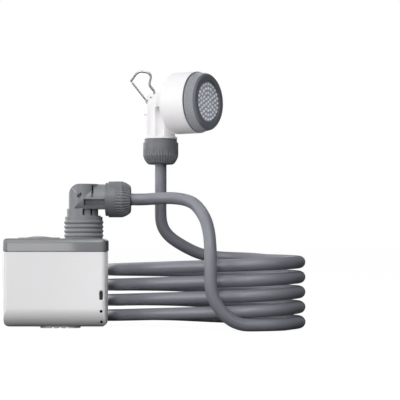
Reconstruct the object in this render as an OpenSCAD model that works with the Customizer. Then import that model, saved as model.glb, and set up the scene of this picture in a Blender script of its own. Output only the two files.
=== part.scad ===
// Camp shower pump: a battery pump with a threaded elbow, a coiled hose and a shower head.
// Millimetres, +Z up, origin on the floor under the middle of the pump, which faces -Y.

/* [Pump housing] */
// Width of the pump housing
body_w = 100; // [90:0.5:120]
// Depth of the pump housing
body_d = 50; // [46:0.5:60]
// Height of the seam between the housing and its cap
seam_z = 76; // [74:0.5:90]
// Wall of the housing and of the cap
wall = 2.2; // [1.6:0.1:3]
// Radius of the upright corners
corner_r = 4; // [3:0.5:8]
// Radius of the long lower edges, front and back
belly_r = 19; // [10:0.5:20]
// Radius of the short lower edges at the ends
heel_r = 4.5; // [2:0.5:8]
// Height of the housing's underside above the floor
base_gap = 1.5; // [1:0.1:3]

/* [Cap] */
// Height of the cap
cap_h = 13; // [12:0.5:20]
// How far the cap stands out beyond the housing
cap_lip = 0.6; // [0.2:0.1:2]
// Radius of the cap's upper edge
cap_edge_r = 4.5; // [2:0.5:6]
// Thickness of the gasket in the seam
seal_t = 0.6; // [0.4:0.1:1]

/* [Power button] */
// Place of the button along the pump
button_x = -18; // [-24:0.5:-14]
// Diameter of the button
button_d = 26; // [16:0.5:30]
// Diameter of the raised pad round the button
pad_d = 42; // [32:0.5:44]
// Height of the raised pad
pad_h = 0.8; // [0.4:0.1:1.5]
// Height of the button's crown above the pad
crown_h = 1.6; // [0.8:0.1:2.5]
// Travel of the button
button_travel = 1.2; // [0.6:0.1:1.5]

/* [Drive] */
// Place of the motor and pump wheel along the pump
motor_x = 4; // [3:0.5:6]
// Diameter of the motor
motor_d = 24; // [20:0.5:25]
// Length of the motor
motor_h = 32; // [24:0.5:40]
// Diameter of the motor shaft
shaft_d = 2; // [1.6:0.1:3]
// Diameter of the pump wheel
impeller_d = 21; // [16:0.5:21.5]
// Number of vanes on the pump wheel
vane_count = 6; // [4:1:8]
// Diameter of a battery cell
cell_d = 18.4; // [17:0.1:18.6]
// Length of a battery cell
cell_h = 65; // [60:0.5:66]

/* [Charging] */
// Distance of the charge port and the two marks under it from the housing's end
port_inset = 3.8; // [3.6:0.1:6]
// Height of the charge port's middle
port_z = 32.8; // [28:0.1:40]
// Height of the indicator lens
lens_z = 17.3; // [14:0.1:20]
// Height of the vent plug
vent_z = 6.8; // [6.4:0.1:8]
// Diameter of the lens and of the vent plug
lens_d = 2.8; // [2.4:0.1:4]

/* [Outlet elbow] */
// Place of the outlet along the pump
outlet_x = 27; // [25:0.5:28]
// Outer diameter of the threaded collar
thread_d = 39.2; // [34:0.1:40]
// Pitch of the collar's thread
thread_pitch = 4.4; // [3:0.1:5]
// Height of the collar above the cap
collar_h = 21.5; // [18:0.5:26]
// Diameter of the neck above the collar
neck_d = 33.6; // [30:0.1:35]
// Height of the neck
neck_h = 8; // [6:0.5:10]
// Diameter of the elbow's arms
arm_d = 30.2; // [26:0.1:31]
// Height of the level arm's axis
arm_z = 128; // [126:0.5:134]
// Length of the level arm from the outlet's axis to the nut
arm_len = 22; // [20:0.5:30]
// Radius of the elbow's outer corner
elbow_r = 12; // [6:0.5:13]

/* [Hose] */
// Outer diameter of the hose
hose_d = 12; // [10:0.1:12.4]
// Radius of the coil's turns, at the middle of the hose
coil_r = 48; // [44:0.5:50]
// Number of whole loops before the last turn
coil_loops = 4; // [2:1:4]

/* [Hose nuts] */
// Largest diameter of a hose nut
nut_d = 36; // [32:0.1:38]
// Length of a hose nut
nut_len = 25; // [24:0.1:28]
// Diameter of a hose nut at its narrow end
nut_tip_d = 25.4; // [20:0.1:28]
// Number of flutes round a nut's taper
flute_count = 36; // [12:1:48]

/* [Shower head] */
// Place of the head's stem along the pump
stem_x = 103; // [100:0.5:106]
// Place of the head's stem in depth
stem_y = 30; // [26:0.5:34]
// Height of the upper end of the head's nut
stem_z = 190; // [186:0.5:194]
// Diameter of the stem
stem_d = 29.6; // [28:0.1:31]
// Height of the bell's axis
bell_z = 226; // [224:0.5:230]
// Turn of the bell's face towards the viewer
bell_turn = 32; // [20:1:45]
// Diameter of the bell
bell_d = 62; // [58:0.5:70]
// Distance from the stem's axis to the back of the bell
bell_back = 17.5; // [16.5:0.5:20]
// Distance from the stem's axis to the front of the bell
bell_front = 46; // [38:0.5:48]
// Diameter of the bezel ring
bezel_d = 56; // [54:0.5:58]
// Depth of the bezel ring
bezel_h = 12; // [11.5:0.5:16]
// Diameter of the spray face seen through the bezel
face_d = 41; // [34:0.5:44]
// Number of rings of spray holes
hole_rings = 4; // [2:1:4]
// Diameter of a spray hole
hole_d = 1.3; // [1:0.1:1.6]

/* [Snap hook] */
// Diameter of the hook's wire
wire_d = 2.4; // [2:0.1:2.6]
// Diameter of the pin that carries the hook
pin_d = 2.4; // [2:0.1:2.6]
// Diameter of the gate's wires
gate_wire_d = 1.6; // [1.2:0.1:1.8]

/* [Hidden] */
$fn = 64;
// Clearances: a running fit, a slip fit and an open gap
run_fit = 0.05;
slip = 0.15;
gap = 0.3;
// A cut runs this far past what it cuts, and a half space reaches this far
over = 1;
far = 100;

// Housing and cap
floor_z = base_gap + wall;
rim_z = seam_z - seal_t / 2;
cap_z = seam_z + seal_t / 2;
cap_top = seam_z + cap_h;
cap_w = body_w + 2 * cap_lip;
cap_d = body_d + 2 * cap_lip;
ceiling_z = cap_top - wall;

// Base strainer
strainer_l = 40;
strainer_w = 20;
strainer_top = base_gap + 0.6;
slot_w = 3;
slot_pitch = 7;
groove_h = base_gap * 0.7;
well_l = 24;
well_w = 13;
well_z = base_gap * 0.6;
inlet_r = 5.7;
screw_x = strainer_l / 2 - 3.5;
screw_r = 1.2;
screw_head_r = 2.2;
screw_head_h = 1;
boss_r = 2.5;
boss_top = floor_z + 2.2;

// Pump wheel, its casing and the motor above it
casing_r = impeller_d / 2 + 3;
casing_wall = 2;
casing_z = 8;
chamber_h = 9;
chamber_z = casing_z + casing_wall;
casing_top = chamber_z + chamber_h + 3;
motor_z = casing_top + 2;
collar_top = motor_z + 8;
impeller_z = chamber_z + 1;
impeller_disc = 1.4;
vane_h = 5;
hub_r = 3;
seal_ring_r = 3.2;
shaft_low = impeller_z;
shaft_top = motor_z + motor_h + 3;
spout_z = chamber_z + chamber_h / 2;
spout_r = 4.2;
spout_bore_r = 2.8;
riser_r = 6.5;
riser_bore_r = 4.5;
riser_low = spout_z - spout_r - 2;

// Batteries
cell_gap = 0.4;
cell_y = 6;
cell_step = sqrt(pow(cell_d + cell_gap, 2) - pow(2 * cell_y, 2));
cell_x = cell_d / 2 + wall + 2 * gap - body_w / 2;
cell_out = cell_y + cell_d / 2 + gap - body_d / 2 + belly_r;
cell_z = base_gap + belly_r - sqrt(pow(belly_r - wall, 2) - pow(cell_out, 2)) + gap;
cradle_wall = 1.4;
cradle_h = 8;

// Circuit board
board_t = 1.6;
board_z = cap_z + 1;
board_l = 47;
board_w = 38;
board_x = button_x;
post_r = 2.5;
post_x = board_l / 2 - 3.5;
post_y = board_w / 2 - 3.5;
switch_s = 6;
switch_h = 1.4;
plunger_r = 1.7;
plunger_h = 0.8;
switch_top = board_z + board_t + switch_h + plunger_h;
flange_h = 1.4;
flange_over = 1.5;
flange_z = ceiling_z - gap - flange_h;
stem_low = switch_top + gap + button_travel;

// Charge port
port_x = body_w / 2 - port_inset;
port_l = 8.9;
port_t = 3.2;
port_depth = 7.4;
port_shell = 0.4;
recess_l = 10.6;
recess_t = 3.6;
recess_depth = 1.2;

// Outlet socket, collar and elbow
socket_r = 15.1;
socket_boss_r = socket_r + 2.6;
spigot_r = socket_r - slip;
spigot_low = cap_z + 2;
ring_r = 1.1;
ring_z = spigot_low + 4;
collar_low = cap_top + 0.1;
collar_z1 = cap_top + collar_h;
thread_h = 0.9;
neck_z1 = collar_z1 + neck_h;
bore_r = 8.4;
arm_r = arm_d / 2;
core_r = 10.2;
lip_z0 = arm_z - 9.8;
lip_z1 = arm_z - 6.5;
nut_face_x = outlet_x + arm_len;

// Hose nuts and what they grip
nut_flange = 3;
nut_flange_r = nut_d / 2 - 1.4;
nut_straight = nut_len * 0.62;
nut_thread_r = 14;
nut_thread_len = 15;
nut_hole_r = hose_d / 2 + 0.5;
grip_len = 5;
grip_z = nut_thread_len + 0.6;
grip_r0 = 10.5;
grip_r1 = 8.2;
hose_seat = 10;
flute_r = 1;

// Hose: where the coil turns, its level and its route
coil_left = [95, 56];
coil_right = [193, -18];
// Height of the first turn and the fall from loop to loop, at the right and at the left
right_high = 65;
right_step = 14.55;
left_high = 56;
left_step = 15.9;
coil_low = hose_d / 2 + 0.2;
coil_steps = 16;
coil_sides = 10;
last_turn = 129;
coil_run = coil_right - coil_left;
coil_span = norm(coil_run);
coil_yaw = atan2(coil_run[1], coil_run[0]);
loop_len = 2 * coil_span + 2 * PI * coil_r;
quarter_len = PI * coil_r / 2;

// A point of a turn: centre, heading before the turn, angle turned so far (to the right)
function turn_xy(c, heading, a) = c + coil_r * [cos(heading + 90 - a), sin(heading + 90 - a)];
// Height of the middle of turn i, where even turns lie at the right
function turn_z(i) = i % 2 == 0 ? right_high - right_step * i / 2 : left_high - left_step * (i - 1) / 2;
function coil_z(s) =
  let (t = 2 * (s - quarter_len) / loop_len, i = floor(t))
    max(coil_low, turn_z(i) + (t - i) * (turn_z(i + 1) - turn_z(i)));
function half_turn(c, heading, s0, angle) = [
  for (i = [0 : coil_steps])
    let (a = angle * i / coil_steps, p = turn_xy(c, heading, a))
      [p[0], p[1], coil_z(s0 + coil_r * a * PI / 180)]
];
function loop_points(k) = concat(
  half_turn(coil_right, coil_yaw, k * loop_len, 180),
  half_turn(coil_left, coil_yaw + 180, (k + 0.5) * loop_len, 180)
);
coil_body = concat(
  [for (k = [0 : coil_loops - 1]) each loop_points(k)],
  half_turn(coil_right, coil_yaw, coil_loops * loop_len, last_turn)
);
// Straight leads, one hose diameter long, at both ends
lead_in = [cos(coil_yaw), sin(coil_yaw), 2 * (turn_z(0) - turn_z(-1)) / loop_len];
lead_out = [cos(coil_yaw - last_turn), sin(coil_yaw - last_turn), 0];
coil_start = coil_body[0] - hose_d * lead_in;
coil_end = coil_body[len(coil_body) - 1] + hose_d * lead_out;
coil_path = concat([coil_start], coil_body, [coil_end]);

// Least distance between the hose's surfaces where the coil passes itself
coil_gap = min([
  for (i = [0 : len(coil_path) - 1], j = [i + coil_steps : len(coil_path) - 1])
    norm(coil_path[i] - coil_path[j])
]) - hose_d;
echo(coil_gap_mm = coil_gap);

// The free stretches leave the coil's leads in line for this far
joint_len = 3;
// Route of the free stretch from the pump's nut to the coil
pump_route = [
  [nut_face_x + hose_seat, 0, arm_z], [74, 0, arm_z], [86, 0, arm_z], [98, -2, 128.6], [110, -8, 129],
  [120, -17, 128.3], [130.5, -28, 126], [138.5, -39, 121.5], [144.5, -50, 114], [149, -61, 105],
  [151.8, -70, 93], [153, -76, 78], [153.3, -78, 62], [153.3, -78, 48], [154.5, -77.5, 37],
  [158.5, -76.5, 27], [165, -75, 18], [173, -72.7, 11], [182, -70.2, 7.2], coil_end + joint_len * lead_out
];
// Route of the free stretch from the coil to the shower head's nut
head_route = [
  coil_start - joint_len * lead_in, [196, 39.7, 68.5], [185, 45.5, 69], [175, 48.5, 69.4], [165, 49.2, 69.9],
  [155, 47.8, 71], [143.2, 44.3, 73.6], [132.5, 40.5, 78.2], [122.7, 36.5, 83.6], [113.5, 33.7, 90],
  [107.3, 31.8, 97], [104, 30.6, 105], [stem_x, stem_y, 115], [stem_x, stem_y, 127], [stem_x, stem_y, 140],
  [stem_x, stem_y, 153], [stem_x, stem_y, stem_z - hose_seat]
];
hose_sides = 12;

// Shower head
stem_r = stem_d / 2;
flange_r = 16.9;
flange_z0 = stem_z + 0.6;
flange_z1 = flange_z0 + 2.1;
dome_z = bell_z - 2;
bell_r = bell_d / 2;
bell_wall = 2.4;
bell_edge_r = 3;
bezel_r = bezel_d / 2;
bezel_wall = 2.6;
spigot2_r = bezel_r - bezel_wall - gap;
bezel_z0 = bell_front + gap;
bezel_z1 = bezel_z0 + bezel_h;
lip_t = 2;
plate_t = 2.6;
plate_z = bezel_z1 - lip_t - gap - plate_t;
gasket_t = 1;
plate_r = spigot2_r - gap;
ring_step = face_d / 2 / (hole_rings + 0.6);
stem_bore_r = 8;
bell_bore_r = 6.8;
stem_bore_low = flange_z1 + 6;
stem_bore_top = bell_z - 3;
panel_r = 6.5;

// Snap hook, in the plane y = stem_y
hook_pin_p = [stem_x - 9.8, bell_z + 6.7];
cheek_gap = 7.8;
cheek_t = 2.4;
cheek_r = 4;
slot_r = 7.6;
eye_r = pin_d / 2 + run_fit + wire_d / 2;
gate_p = hook_pin_p + [-3.9, -3.7];
tail_r = 2;
rivet_r = 0.8;
hook_wire = [
  hook_pin_p + [eye_r + 0.2, 0], hook_pin_p + [3.1, 7.1], hook_pin_p + [-2.3, 13.9],
  hook_pin_p + [0.6, 25.8], hook_pin_p + [-13.2, 28.3], hook_pin_p + [-21.2, 17.1]
];
hook_bend = [0, 4, 5, 5, 8, 0];
gate_tip = hook_wire[len(hook_wire) - 1] + [2, -1.5];
gate_eye_t = gate_wire_d + 0.3;
gate_y = wire_d / 2 + gate_eye_t / 2 + gap;
eye_t = wire_d + 0.3;
bend_steps = 6;
wire_sides = 12;

// Rectangle with round corners, centred
module round_rect(w, d, r) {
  square([w - 2 * r, d], center = true);
  square([w, d - 2 * r], center = true);
  for (x = [-1, 1], y = [-1, 1])
    translate([x * (w / 2 - r), y * (d / 2 - r)]) circle(r);
}

// Upright outline of width w from z0 to z1, with its two lower corners rounded
module trough(w, z0, z1, r) {
  translate([-w / 2, z0 + r]) square([w, z1 - z0 - r]);
  translate([r - w / 2, z0]) square([w - 2 * r, r + 0.1]);
  for (x = [-1, 1]) translate([x * (w / 2 - r), z0 + r]) circle(r);
}

// Block with a round-cornered plan whose lower edges follow the trough outlines
module tub(w, d, z0, z1, r_plan, r_long, r_short) {
  intersection() {
    translate([0, 0, z0]) linear_extrude(z1 - z0) round_rect(w, d, r_plan);
    rotate([90, 0, 90]) linear_extrude(w + 2 * over, center = true) trough(d, z0, z1, r_long);
    rotate([90, 0, 0]) linear_extrude(d + 2 * over, center = true) trough(w, z0, z1, r_short);
  }
}

module housing_outside() {
  tub(body_w, body_d, base_gap, rim_z, corner_r, belly_r, heel_r);
}

module housing_inside(inset) {
  tub(body_w - 2 * inset, body_d - 2 * inset, base_gap + inset, rim_z + over,
      corner_r - inset, belly_r - inset, heel_r - inset);
}

// Slot with round ends that runs along Y, length l upright, from y0 to y1
module port_slot(l, t, y0, y1) {
  translate([port_x, y1, port_z]) rotate([90, 0, 0]) linear_extrude(y1 - y0) {
    square([t, l - t], center = true);
    for (z = [-1, 1]) translate([0, z * (l - t) / 2]) circle(t / 2);
  }
}

// Surface of the housing's front, in Y, at the charge port
port_face_y = corner_r - body_d / 2 - sqrt(pow(corner_r, 2) - pow(max(corner_r - port_inset, 0), 2));
// Surface of the housing's front, in Y, at a height on its rounded lower edge
function belly_y(z) = belly_r - body_d / 2 - sqrt(pow(belly_r, 2) - pow(max(base_gap + belly_r - z, 0), 2));

// Rod through the front wall at height z
module wall_rod(z, d, y0, y1) {
  translate([port_x, y1, z]) rotate([90, 0, 0]) cylinder(h = y1 - y0, d = d);
}

module at_strainer_screws() {
  for (s = [-1, 1]) translate([motor_x + s * screw_x, 0, 0]) children();
}

module lower_housing() {
  color("#e6e4e5") difference() {
    union() {
      difference() {
        housing_outside();
        housing_inside(wall);
      }
      at_strainer_screws() translate([0, 0, base_gap + wall / 2])
        cylinder(h = boss_top - base_gap - wall / 2, r = boss_r);
    }
    translate([motor_x, 0, 0]) cylinder(h = floor_z + over, r = inlet_r + slip);
    at_strainer_screws() cylinder(h = boss_top - 1, r = screw_r + run_fit);
    port_slot(recess_l, recess_t, -body_d, port_face_y + recess_depth);
    port_slot(port_l + 2 * slip, port_t + 2 * slip, -body_d, port_face_y + recess_depth + port_depth + gap);
    wall_rod(lens_z, lens_d + 2 * run_fit, -body_d, belly_y(lens_z) + wall + over);
    wall_rod(vent_z, lens_d + 2 * run_fit, -body_d, belly_y(vent_z) + 2 * wall);
  }
}

module cap_outside() {
  translate([0, 0, cap_z + cap_top]) mirror([0, 0, 1])
    tub(cap_w, cap_d, cap_z, cap_top, corner_r + cap_lip, cap_edge_r, cap_edge_r);
}

module at_board_posts() {
  for (x = [-1, 1], y = [-1, 1]) translate([board_x + x * post_x, y * post_y, 0]) children();
}

module top_cap() {
  color("#9c9da0") difference() {
    union() {
      difference() {
        cap_outside();
        translate([0, 0, cap_z - over]) linear_extrude(ceiling_z - cap_z + over)
          round_rect(cap_w - 2 * (wall + cap_lip), cap_d - 2 * (wall + cap_lip), corner_r - wall);
      }
      translate([outlet_x, 0, cap_z + 0.6]) cylinder(h = ceiling_z - cap_z, r = socket_boss_r);
      translate([button_x, 0, ceiling_z]) cylinder(h = cap_top + pad_h - ceiling_z, d = pad_d);
      at_board_posts() translate([0, 0, board_z + board_t])
        cylinder(h = ceiling_z - board_z - board_t + 0.5, r = post_r);
    }
    translate([outlet_x, 0, cap_z - over]) cylinder(h = cap_h + 2 * over, r = socket_r);
    translate([button_x, 0, cap_z]) cylinder(h = cap_h + pad_h + over, d = button_d + 2 * slip);
    at_board_posts() translate([0, 0, cap_z]) cylinder(h = ceiling_z - cap_z - 2, r = screw_r + run_fit);
  }
}

module cap_seal() {
  color("#3a3a3c") translate([0, 0, rim_z]) linear_extrude(seal_t) difference() {
    round_rect(body_w - 1, body_d - 1, corner_r - 0.5);
    round_rect(body_w - 2 * wall, body_d - 2 * wall, corner_r - wall);
  }
}

// Round button with a crowned top, a retaining flange and a stem for the switch
module power_button() {
  crown_z = cap_top + pad_h;
  crown_r = (pow(button_d / 2, 2) + pow(crown_h, 2)) / (2 * crown_h);
  color("#a6a7aa") translate([button_x, 0, 0]) {
    intersection() {
      translate([0, 0, flange_z]) cylinder(h = crown_z + crown_h - flange_z + over, d = button_d);
      translate([0, 0, crown_z + crown_h - crown_r]) sphere(crown_r, $fn = 128);
    }
    translate([0, 0, flange_z]) cylinder(h = flange_h, d = button_d + 2 * flange_over);
    translate([0, 0, stem_low]) cylinder(h = flange_z - stem_low + 0.2, r = post_r);
  }
}

module tact_switch() {
  color("#2a2a2c") translate([button_x, 0, board_z + board_t]) {
    translate([-switch_s / 2, -switch_s / 2, 0]) cube([switch_s, switch_s, switch_h]);
    cylinder(h = switch_h + plunger_h, r = plunger_r);
  }
}

module circuit_board() {
  color("#1f6b45") difference() {
    translate([board_x, 0, board_z]) linear_extrude(board_t) round_rect(board_l, board_w, 3);
    at_board_posts() translate([0, 0, board_z - over])
      cylinder(h = board_t + 2 * over, r = screw_r + run_fit);
  }
}

module board_screws() {
  color("silver") at_board_posts() translate([0, 0, board_z]) {
    cylinder(h = ceiling_z - board_z - 2.5, r = screw_r);
    mirror([0, 0, 1]) cylinder(h = screw_head_h - 0.2, r = screw_head_r);
  }
}

module at_cells() {
  for (k = [0, 1]) translate([cell_x + k * cell_step, (2 * k - 1) * cell_y, 0]) children();
}

module battery_cells() {
  color("#3c6fb0") at_cells() translate([0, 0, cell_z]) {
    cylinder(h = cell_h, d = cell_d);
    translate([0, 0, cell_h - 0.1]) cylinder(h = 0.8, r = 3);
  }
}

// Tray under the cells and a clip round their middles, joined by a strip between the cells
module battery_cradle() {
  clip_z = cell_z + cell_h / 2;
  clip_r = cell_d / 2 + cradle_wall;
  color("#4a4b4e") difference() {
    intersection() {
      union() {
        at_cells() translate([0, 0, floor_z]) cylinder(h = cradle_h, r = clip_r);
        at_cells() translate([0, 0, clip_z]) cylinder(h = cradle_h, r = clip_r);
        translate([cell_x + cell_step / 2, 0, floor_z]) rotate(atan2(2 * cell_y, cell_step))
          translate([-1, 4, 0]) cube([2, cell_d / 4, clip_z - floor_z + 1]);
      }
      housing_inside(wall + slip);
    }
    translate([motor_x, 0, 0]) cylinder(h = cap_top, r = casing_r + gap);
    at_cells() translate([0, 0, cell_z]) cylinder(h = cell_h, r = cell_d / 2 + slip);
    translate([motor_x - screw_x, 0, 0]) cylinder(h = boss_top + gap, r = boss_r + gap);
  }
}

module pump_motor() {
  color("#b9bcc0") translate([motor_x, 0, 0]) difference() {
    union() {
      translate([0, 0, motor_z]) cylinder(h = motor_h, d = motor_d);
      translate([0, 0, casing_top]) cylinder(h = 2.1, r = hub_r + 1);
      translate([0, 0, motor_z + motor_h - 0.1]) cylinder(h = 2, r = hub_r + 1);
    }
    translate([0, 0, casing_top - over]) cylinder(h = motor_h + 8, r = shaft_d / 2 + run_fit);
  }
}

module motor_shaft() {
  color("silver") translate([motor_x, 0, shaft_low]) cylinder(h = shaft_top - shaft_low, d = shaft_d);
}

// Pump wheel: a disc, a hub and backward-curved vanes, each a slice of a ring
module impeller() {
  vane_r = impeller_d * 0.36;
  color("#d9d9d6") translate([motor_x, 0, impeller_z]) difference() {
    union() {
      cylinder(h = impeller_disc, d = impeller_d);
      cylinder(h = impeller_disc + vane_h, r = hub_r);
      intersection() {
        cylinder(h = impeller_disc + vane_h, d = impeller_d);
        for (k = [0 : vane_count - 1])
          rotate(k * 360 / vane_count) translate([vane_r * 0.45, vane_r * 0.9, 0]) rotate(-80)
            rotate_extrude(angle = 105) translate([vane_r - 0.6, 0]) square([1.2, impeller_disc + vane_h]);
      }
    }
    translate([0, 0, -over]) cylinder(h = vane_h + 8, d = shaft_d + 0.04);
  }
}

// Casing of the pump wheel with its inlet, its side spout and the cup that holds the motor
module pump_volute() {
  color("#6d6f73") difference() {
    union() {
      translate([motor_x, 0, casing_z]) cylinder(h = casing_top - casing_z, r = casing_r);
      translate([motor_x, 0, base_gap]) cylinder(h = casing_z - base_gap + 0.1, r = inlet_r);
      translate([motor_x, 0, casing_top - 0.1])
        cylinder(h = collar_top - casing_top, r = motor_d / 2 + 1.4);
      translate([motor_x, 0, spout_z]) rotate([0, 90, 0])
        cylinder(h = outlet_x - motor_x - riser_bore_r, r = spout_r);
    }
    translate([motor_x, 0, chamber_z]) cylinder(h = chamber_h, r = casing_r - casing_wall);
    translate([motor_x, 0, base_gap - over]) cylinder(h = chamber_z, r = inlet_r - 1.4);
    translate([motor_x, 0, chamber_z]) cylinder(h = motor_h, r = seal_ring_r);
    translate([motor_x, 0, casing_top]) cylinder(h = collar_top, r = motor_d / 2 + run_fit);
    translate([motor_x, 0, spout_z]) rotate([0, 90, 0]) cylinder(h = outlet_x, r = spout_bore_r);
  }
}

module shaft_seal() {
  color("#232325") translate([motor_x, 0, chamber_z + chamber_h + 0.2]) difference() {
    cylinder(h = 2.6, r = seal_ring_r - run_fit);
    translate([0, 0, -over]) cylinder(h = 6, r = shaft_d / 2 + run_fit);
  }
}

// Oblong with round ends, centred
module oblong(l, w) {
  square([l - w, w], center = true);
  for (s = [-1, 1]) translate([s * (l - w) / 2, 0]) circle(w / 2);
}

// Foot plate under the housing: cross grooves let water into the well over them
module inlet_strainer() {
  color("#5d5f63") difference() {
    translate([motor_x, 0, 0]) linear_extrude(strainer_top) oblong(strainer_l, strainer_w);
    housing_outside();
    translate([motor_x, 0, well_z]) linear_extrude(strainer_top) oblong(well_l, well_w);
    for (k = [-1, 0, 1]) translate([motor_x + k * slot_pitch - slot_w / 2, -strainer_w, -over])
      cube([slot_w, 2 * strainer_w, over + groove_h]);
    at_strainer_screws() translate([0, 0, -over])
      cylinder(h = over + screw_head_h, r = screw_head_r + slip);
    at_strainer_screws() cylinder(h = strainer_top + over, r = screw_r + run_fit);
  }
}

module strainer_screws() {
  color("silver") at_strainer_screws() {
    translate([0, 0, 0.2]) cylinder(h = screw_head_h - 0.2, r = screw_head_r);
    translate([0, 0, screw_head_h - 0.1]) cylinder(h = boss_top - 1.4 - screw_head_h, r = screw_r);
  }
}

// Upright pipe from the casing's spout into the elbow
module outlet_riser() {
  riser_top = cap_top + 4;
  color("#cfd0d2") difference() {
    translate([outlet_x, 0, riser_low]) cylinder(h = riser_top - riser_low, r = riser_r);
    translate([outlet_x, 0, riser_low + 2]) cylinder(h = riser_top - riser_low, r = riser_bore_r);
    translate([motor_x, 0, spout_z]) rotate([0, 90, 0])
      cylinder(h = outlet_x - motor_x, r = spout_r + run_fit);
  }
}

// Steel shell of the charge port, its tongue and its moulded back
module charge_port() {
  y0 = port_face_y + recess_depth;
  color("#8d9094") {
    difference() {
      port_slot(port_l, port_t, y0, y0 + port_depth);
      port_slot(port_l - 2 * port_shell, port_t - 2 * port_shell, y0 - over, y0 + port_depth - 1.2);
    }
    port_slot(port_l - 2.4, 0.7, y0 + 1, y0 + port_depth - 1);
  }
}

module indicator_lens() {
  color("#1d1f22") intersection() {
    wall_rod(lens_z, lens_d, -body_d, belly_y(lens_z) + wall);
    housing_outside();
  }
}

module vent_plug() {
  color("#2b2d30") intersection() {
    wall_rod(vent_z, lens_d, -body_d, belly_y(vent_z) + wall);
    housing_outside();
  }
}

// Outline of the elbow seen from the front: an L with a round outer corner
module elbow_outline() {
  x0 = outlet_x - arm_r;
  z1 = arm_z + arm_r;
  difference() {
    translate([x0, collar_z1]) square([arm_len + arm_r, z1 - collar_z1]);
    difference() {
      translate([x0 - over, z1 - elbow_r]) square([elbow_r + over, elbow_r + over]);
      translate([x0 + elbow_r, z1 - elbow_r]) circle(elbow_r);
    }
  }
}

// Half space on the outer side of the mitre between the elbow's arms; side -1 keeps the upright arm
module mitre(side) {
  translate([outlet_x, 0, arm_z]) rotate([0, 45, 0])
    translate([side > 0 ? 0 : -2 * far, -far, -far]) cube(2 * far);
}

module level_rod(x0, x1, r) {
  translate([x0, 0, arm_z]) rotate([0, 90, 0]) cylinder(h = x1 - x0, r = r);
}

module upright_rod(z0, z1, r) {
  translate([outlet_x, 0, z0]) cylinder(h = z1 - z0, r = r);
}

// Block from x0 to x1 and z0 to z1 that spares a round core
module core_pocket(x0, x1, z0, z1) {
  difference() {
    translate([x0, -arm_d, z0]) cube([x1 - x0, 2 * arm_d, z1 - z0]);
    children();
  }
}

// Crests of the collar's thread, as a revolved profile
module thread_collar() {
  root_r = thread_d / 2 - thread_h;
  count = floor((collar_z1 - collar_low) / thread_pitch);
  upright_rod(collar_low, collar_z1, root_r);
  translate([outlet_x, 0, collar_low]) rotate_extrude($fn = 96) for (k = [0 : count - 1])
    translate([0, (k + 0.2) * thread_pitch]) polygon([
      [root_r - 1, 0], [root_r, 0], [thread_d / 2, thread_pitch * 0.3], [thread_d / 2, thread_pitch * 0.55],
      [root_r, thread_pitch * 0.85], [root_r - 1, thread_pitch * 0.85]
    ]);
}

module elbow_arms() {
  intersection() {
    union() {
      intersection() {
        upright_rod(collar_z1, arm_z + 2 * arm_r, arm_r);
        mitre(-1);
      }
      intersection() {
        level_rod(outlet_x - 2 * arm_r, nut_face_x, arm_r);
        mitre(1);
      }
    }
    rotate([90, 0, 0]) linear_extrude(4 * arm_r, center = true) elbow_outline();
  }
}

module elbow_fitting() {
  slit_x = outlet_x + 9.6;
  slit_w = 1.8;
  slit_low = arm_z + 2;
  slit_top = arm_z + 13.6;
  hole_s = 3;
  color("#77777b") difference() {
    union() {
      upright_rod(spigot_low, collar_low + 0.1, spigot_r);
      thread_collar();
      upright_rod(collar_z1 - 0.1, neck_z1, neck_d / 2);
      elbow_arms();
      level_rod(nut_face_x - 0.1, nut_face_x + nut_thread_len, nut_thread_r);
    }
    // Water way
    upright_rod(spigot_low - over, cap_top + 4.5, riser_r + slip);
    upright_rod(cap_top + 4, arm_z, bore_r - 2);
    level_rod(outlet_x, nut_face_x + hose_seat + 0.1, bore_r - 4);
    level_rod(nut_face_x + hose_seat, nut_face_x + nut_thread_len + over, hose_d / 2 + slip);
    // Seat of the O-ring
    difference() {
      upright_rod(ring_z - ring_r - 0.1, ring_z + ring_r + 0.1, spigot_r + over);
      upright_rod(ring_z - 2 * ring_r, ring_z + 2 * ring_r, spigot_r - 2 * ring_r - 0.1);
    }
    // Underside of the level arm, cut away behind the neck
    translate([outlet_x + neck_d / 2, -arm_d, collar_z1])
      cube([arm_len - neck_d / 2, 2 * arm_d, lip_z0 - collar_z1]);
    // Cored pockets, slits and the square hole on the mitre, on both faces
    core_pocket(outlet_x + 1, nut_face_x - 0.2, lip_z1, arm_z - 0.2)
      level_rod(outlet_x, nut_face_x, core_r);
    core_pocket(outlet_x + 0.4, outlet_x + neck_d, collar_z1 + 1.2, neck_z1 - 0.3)
      upright_rod(collar_z1, neck_z1, neck_d / 2 - 2.4);
    for (x = [1, 8.4]) core_pocket(outlet_x + x - 0.8, outlet_x + x + 0.8, collar_z1 + 1.2, neck_z1 - 0.3)
      upright_rod(collar_z1, neck_z1, core_r);
    core_pocket(slit_x - slit_w / 2, slit_x + slit_w / 2, slit_low, slit_top)
      level_rod(outlet_x, nut_face_x, core_r);
    for (s = [-1, 1]) translate([outlet_x - hole_s, s * (core_r + hole_s), arm_z + 3.6]) rotate([0, 45, 0])
      cube([hole_s, 2 * hole_s, 5], center = true);
  }
}

module outlet_seal() {
  color("#1c1c1e") translate([outlet_x, 0, ring_z]) rotate_extrude()
    translate([spigot_r - ring_r + run_fit, 0]) circle(ring_r, $fn = 24);
}

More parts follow.
